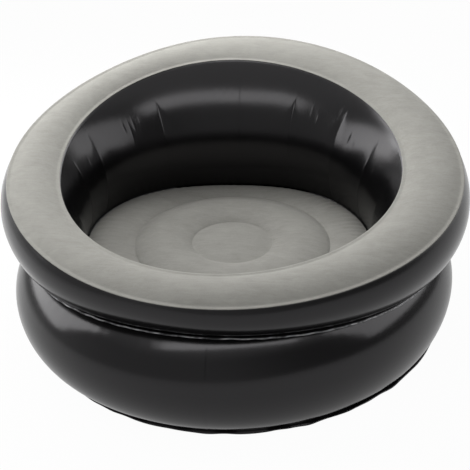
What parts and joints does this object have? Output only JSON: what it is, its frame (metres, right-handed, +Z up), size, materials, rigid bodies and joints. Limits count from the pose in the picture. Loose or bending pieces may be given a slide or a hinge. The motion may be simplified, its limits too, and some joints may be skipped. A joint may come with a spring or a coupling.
{
  "type": "round inflatable armchair",
  "caption": "Round tub armchair of welded vinyl sheet: an air-filled drum base with a flocked seat, and a sloping air-filled tube as arms and back.",
  "frame": {"origin": "on the floor, at the centre of the round floor weld", "axes": "+Z up, -Y towards the low front, +X to the right as seen from the front"},
  "size_m": [1.0842, 1.0749, 0.5146],
  "materials": {
    "vinyl": "satin black vinyl sheet",
    "flock": "short grey flock on vinyl sheet",
    "band_vinyl": "inner vinyl sheet",
    "moulded": "moulded soft vinyl",
    "flap_film": "translucent film"
  },
  "bodies": {
    "chair": {"floor_sheet": "vinyl", "drum_side": "vinyl", "chamber_divider": "vinyl", "tube_side": "vinyl", "rim_cover": "flock", "well_wall_left": "vinyl", "well_wall_right": "vinyl", "seat_top": "flock", "back_seam_strip": "band_vinyl", "front_seam_strip": "band_vinyl", "outer_seat_band": "band_vinyl", "inner_seat_band": "band_vinyl", "drum_valve_body": "moulded", "tube_valve_body": "moulded", "wall_tie_01": "band_vinyl", "wall_tie_02": "band_vinyl", "wall_tie_03": "band_vinyl", "wall_tie_04": "band_vinyl", "wall_tie_05": "band_vinyl", "wall_tie_06": "band_vinyl", "wall_tie_07": "band_vinyl", "wall_tie_08": "band_vinyl", "wall_tie_09": "band_vinyl", "wall_tie_10": "band_vinyl", "wall_tie_11": "band_vinyl", "wall_tie_12": "band_vinyl", "wall_tie_13": "band_vinyl", "wall_tie_14": "band_vinyl"},
    "drum_stopper": {"drum_valve_stopper": "moulded"},
    "drum_cap": {"drum_valve_cap": "moulded"},
    "drum_flap": {"drum_valve_flap": "flap_film"},
    "tube_stopper": {"tube_valve_stopper": "moulded"},
    "tube_cap": {"tube_valve_cap": "moulded"},
    "tube_flap": {"tube_valve_flap": "flap_film"}
  },
  "joints": [
    {"name": "drum_stopper_hinge", "type": "hinge", "parent": "chair", "child": "drum_stopper", "pos_m": [-0.08701, 0.5339, 0.09885], "axis": [-0.021, 0.17, 0.9852], "range_deg": [0, 150]},
    {"name": "drum_cap_hinge", "type": "hinge", "parent": "drum_stopper", "child": "drum_cap", "pos_m": [-0.0468, 0.54116, 0.09845], "axis": [0.021, -0.17, -0.9852], "range_deg": [0, 150]},
    {"name": "drum_flap_hinge", "type": "hinge", "parent": "drum_stopper", "child": "drum_flap", "pos_m": [-0.04881, 0.52642, 0.10096], "axis": [-0.021, 0.17, 0.9852], "range_deg": [0, 60], "stiffness_Nm_per_rad": 0.002, "springref_deg": -17.19},
    {"name": "tube_stopper_hinge", "type": "hinge", "parent": "chair", "child": "tube_stopper", "pos_m": [-0.01142, 0.56048, 0.3671], "axis": [-0.0027, -0.1209, 0.9927], "range_deg": [0, 150]},
    {"name": "tube_cap_hinge", "type": "hinge", "parent": "tube_stopper", "child": "tube_cap", "pos_m": [0.02942, 0.56184, 0.36738], "axis": [0.0027, 0.1209, -0.9927], "range_deg": [0, 150]},
    {"name": "tube_flap_hinge", "type": "hinge", "parent": "tube_stopper", "child": "tube_flap", "pos_m": [0.02529, 0.54744, 0.36561], "axis": [-0.0027, -0.1209, 0.9927], "range_deg": [0, 60], "stiffness_Nm_per_rad": 0.002, "springref_deg": -17.19}
  ]
}
